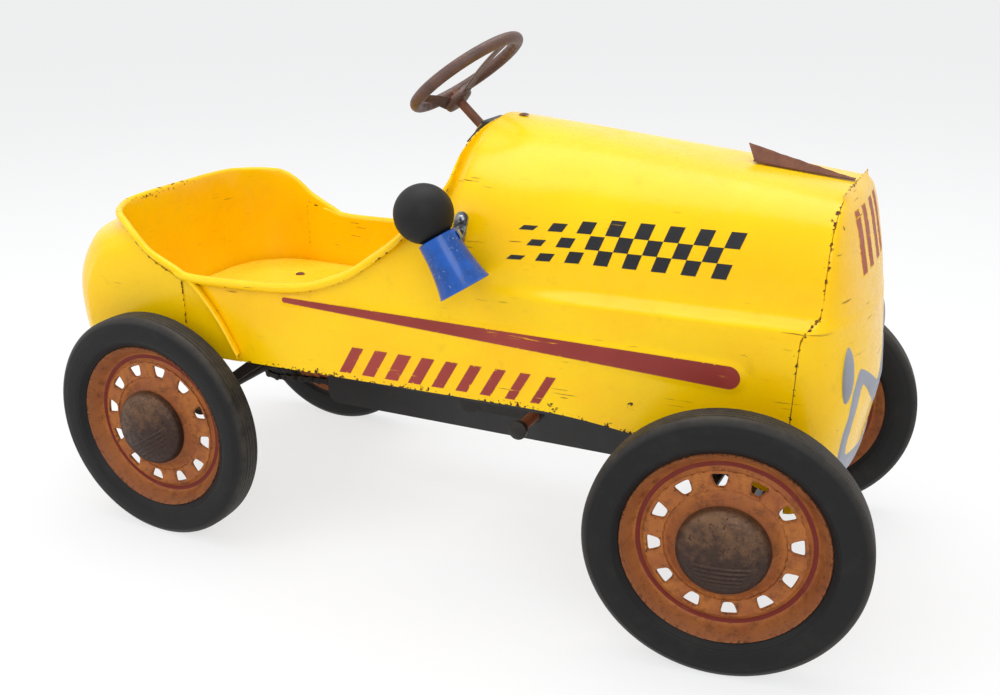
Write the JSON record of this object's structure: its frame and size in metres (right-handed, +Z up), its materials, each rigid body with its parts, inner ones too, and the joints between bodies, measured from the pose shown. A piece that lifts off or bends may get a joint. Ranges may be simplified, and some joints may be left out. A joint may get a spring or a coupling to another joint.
{
  "type": "pedal_car",
  "caption": "Pressed steel chain-drive pedal car with a tapered hood, bucket seat, disc wheels, a bent steering wheel and a bulb horn",
  "frame": {"origin": "Middle of the footprint on the ground, under the car", "axes": "+X forward, +Y to the driver's left, +Z up"},
  "size_m": [0.9267, 0.4248, 0.5408],
  "materials": {
    "yellow_paint": "semi_gloss",
    "black_paint": "satin",
    "dark_steel": "satin",
    "bush_brass": "satin",
    "plated_steel": "satin",
    "rusty_steel": "matte",
    "bulb_rubber": "matte",
    "blue_paint": "gloss",
    "tyre_rubber": "matte",
    "hubcap_steel": "matte",
    "wheel_paint": "satin"
  },
  "bodies": {
    "car_body": {"hood_body": "yellow_paint", "nose_shell": "yellow_paint", "tail_shell": "yellow_paint", "seat_back": "yellow_paint", "seat_pan": "yellow_paint", "body_bolts": "plated_steel", "hood_ornament": "rusty_steel", "column_bracket": "black_paint", "column_bush": "bush_brass", "column_foot": "black_paint", "frame_rail_left": "black_paint", "frame_rail_right": "black_paint", "cross_members": "black_paint", "crank_hanger_left": "black_paint", "crank_hanger_right": "black_paint", "crank_bushes": "bush_brass", "rear_bearings": "bush_brass", "chain_guard": "black_paint", "frame_bolts": "plated_steel", "front_axle": "black_paint", "kingpins": "plated_steel", "horn_bulb": "bulb_rubber", "horn_bell": "blue_paint", "horn_reed": "bush_brass", "horn_bracket": "plated_steel", "chain": "dark_steel"},
    "rear_axle_body": {"rear_axle": "rusty_steel", "rear_sprocket": "dark_steel", "rear_axle_pins": "plated_steel", "rear_right_disc": "wheel_paint", "rear_right_rim_back": "wheel_paint", "rear_right_tyre": "tyre_rubber", "rear_right_hubcap": "hubcap_steel"},
    "rear_left_wheel": {"rear_left_disc": "wheel_paint", "rear_left_rim_back": "wheel_paint", "rear_left_tyre": "tyre_rubber", "rear_left_hubcap": "hubcap_steel"},
    "crank": {"crankshaft": "rusty_steel", "drive_sprocket": "dark_steel"},
    "pedal_left_body": {"pedal_left": "rusty_steel"},
    "pedal_right_body": {"pedal_right": "rusty_steel"},
    "steering": {"steering_wheel": "rusty_steel", "steering_nut": "plated_steel", "steering_column": "rusty_steel"},
    "left_knuckle": {"knuckle_left": "black_paint", "stub_pins_left": "plated_steel"},
    "right_knuckle": {"knuckle_right": "black_paint", "stub_pins_right": "plated_steel"},
    "front_left_wheel": {"front_left_disc": "wheel_paint", "front_left_rim_back": "wheel_paint", "front_left_tyre": "tyre_rubber", "front_left_hubcap": "hubcap_steel"},
    "front_right_wheel": {"front_right_disc": "wheel_paint", "front_right_rim_back": "wheel_paint", "front_right_tyre": "tyre_rubber", "front_right_hubcap": "hubcap_steel"},
    "tie_rod_body": {"tie_rod": "black_paint", "tie_rod_bolts": "plated_steel"}
  },
  "joints": [
    {"name": "axle_spin", "type": "hinge", "parent": "car_body", "child": "rear_axle_body", "pos_m": [-0.302, 0, 0.127], "axis": [0, 1, 0], "continuous": true},
    {"name": "rear_left_spin", "type": "hinge", "parent": "rear_axle_body", "child": "rear_left_wheel", "pos_m": [-0.302, 0.1795, 0.127], "axis": [0, 1, 0], "continuous": true},
    {"name": "crank_spin", "type": "hinge", "parent": "car_body", "child": "crank", "pos_m": [0.02299, 0, 0.162], "axis": [0, 1, 0], "continuous": true, "deforming": ["chain"]},
    {"name": "pedal_left_spin", "type": "hinge", "parent": "crank", "child": "pedal_left_body", "pos_m": [-0.05301, 0.0775, 0.162], "axis": [0, 1, 0], "continuous": true},
    {"name": "pedal_right_spin", "type": "hinge", "parent": "crank", "child": "pedal_right_body", "pos_m": [0.09899, -0.0775, 0.162], "axis": [0, 1, 0], "continuous": true},
    {"name": "steer", "type": "hinge", "parent": "car_body", "child": "left_knuckle", "pos_m": [0.33, 0.143, 0.127], "axis": [0, 0, 1], "range_deg": [-24.3, 7.7]},
    {"name": "steer_right", "type": "hinge", "parent": "car_body", "child": "right_knuckle", "pos_m": [0.33, -0.143, 0.127], "axis": [0, 0, 1], "range_deg": [-24.4, 7.8]},
    {"name": "column_turn", "type": "hinge", "parent": "car_body", "child": "steering", "pos_m": [0.0165, 0, 0.444], "axis": [-0.7314, 0, 0.682], "range_deg": [-24.4, 7.8]},
    {"name": "tie_swing", "type": "hinge", "parent": "left_knuckle", "child": "tie_rod_body", "pos_m": [0.2825, 0.13607, 0.112], "axis": [0, 0, 1], "range_deg": [-7.8, 24.4]},
    {"name": "front_left_spin", "type": "hinge", "parent": "left_knuckle", "child": "front_left_wheel", "pos_m": [0.32473, 0.17912, 0.127], "axis": [-0.1444, 0.9895, 0], "continuous": true},
    {"name": "front_right_spin", "type": "hinge", "parent": "right_knuckle", "child": "front_right_wheel", "pos_m": [0.33527, -0.17912, 0.127], "axis": [-0.1444, 0.9895, 0], "continuous": true}
  ],
  "couplings": [
    {"joint": "crank_spin", "follows": "axle_spin", "ratio": 0.66667},
    {"joint": "steer_right", "follows": "steer", "ratio": 1},
    {"joint": "column_turn", "follows": "steer", "ratio": 1},
    {"joint": "tie_swing", "follows": "steer", "ratio": -1}
  ]
}
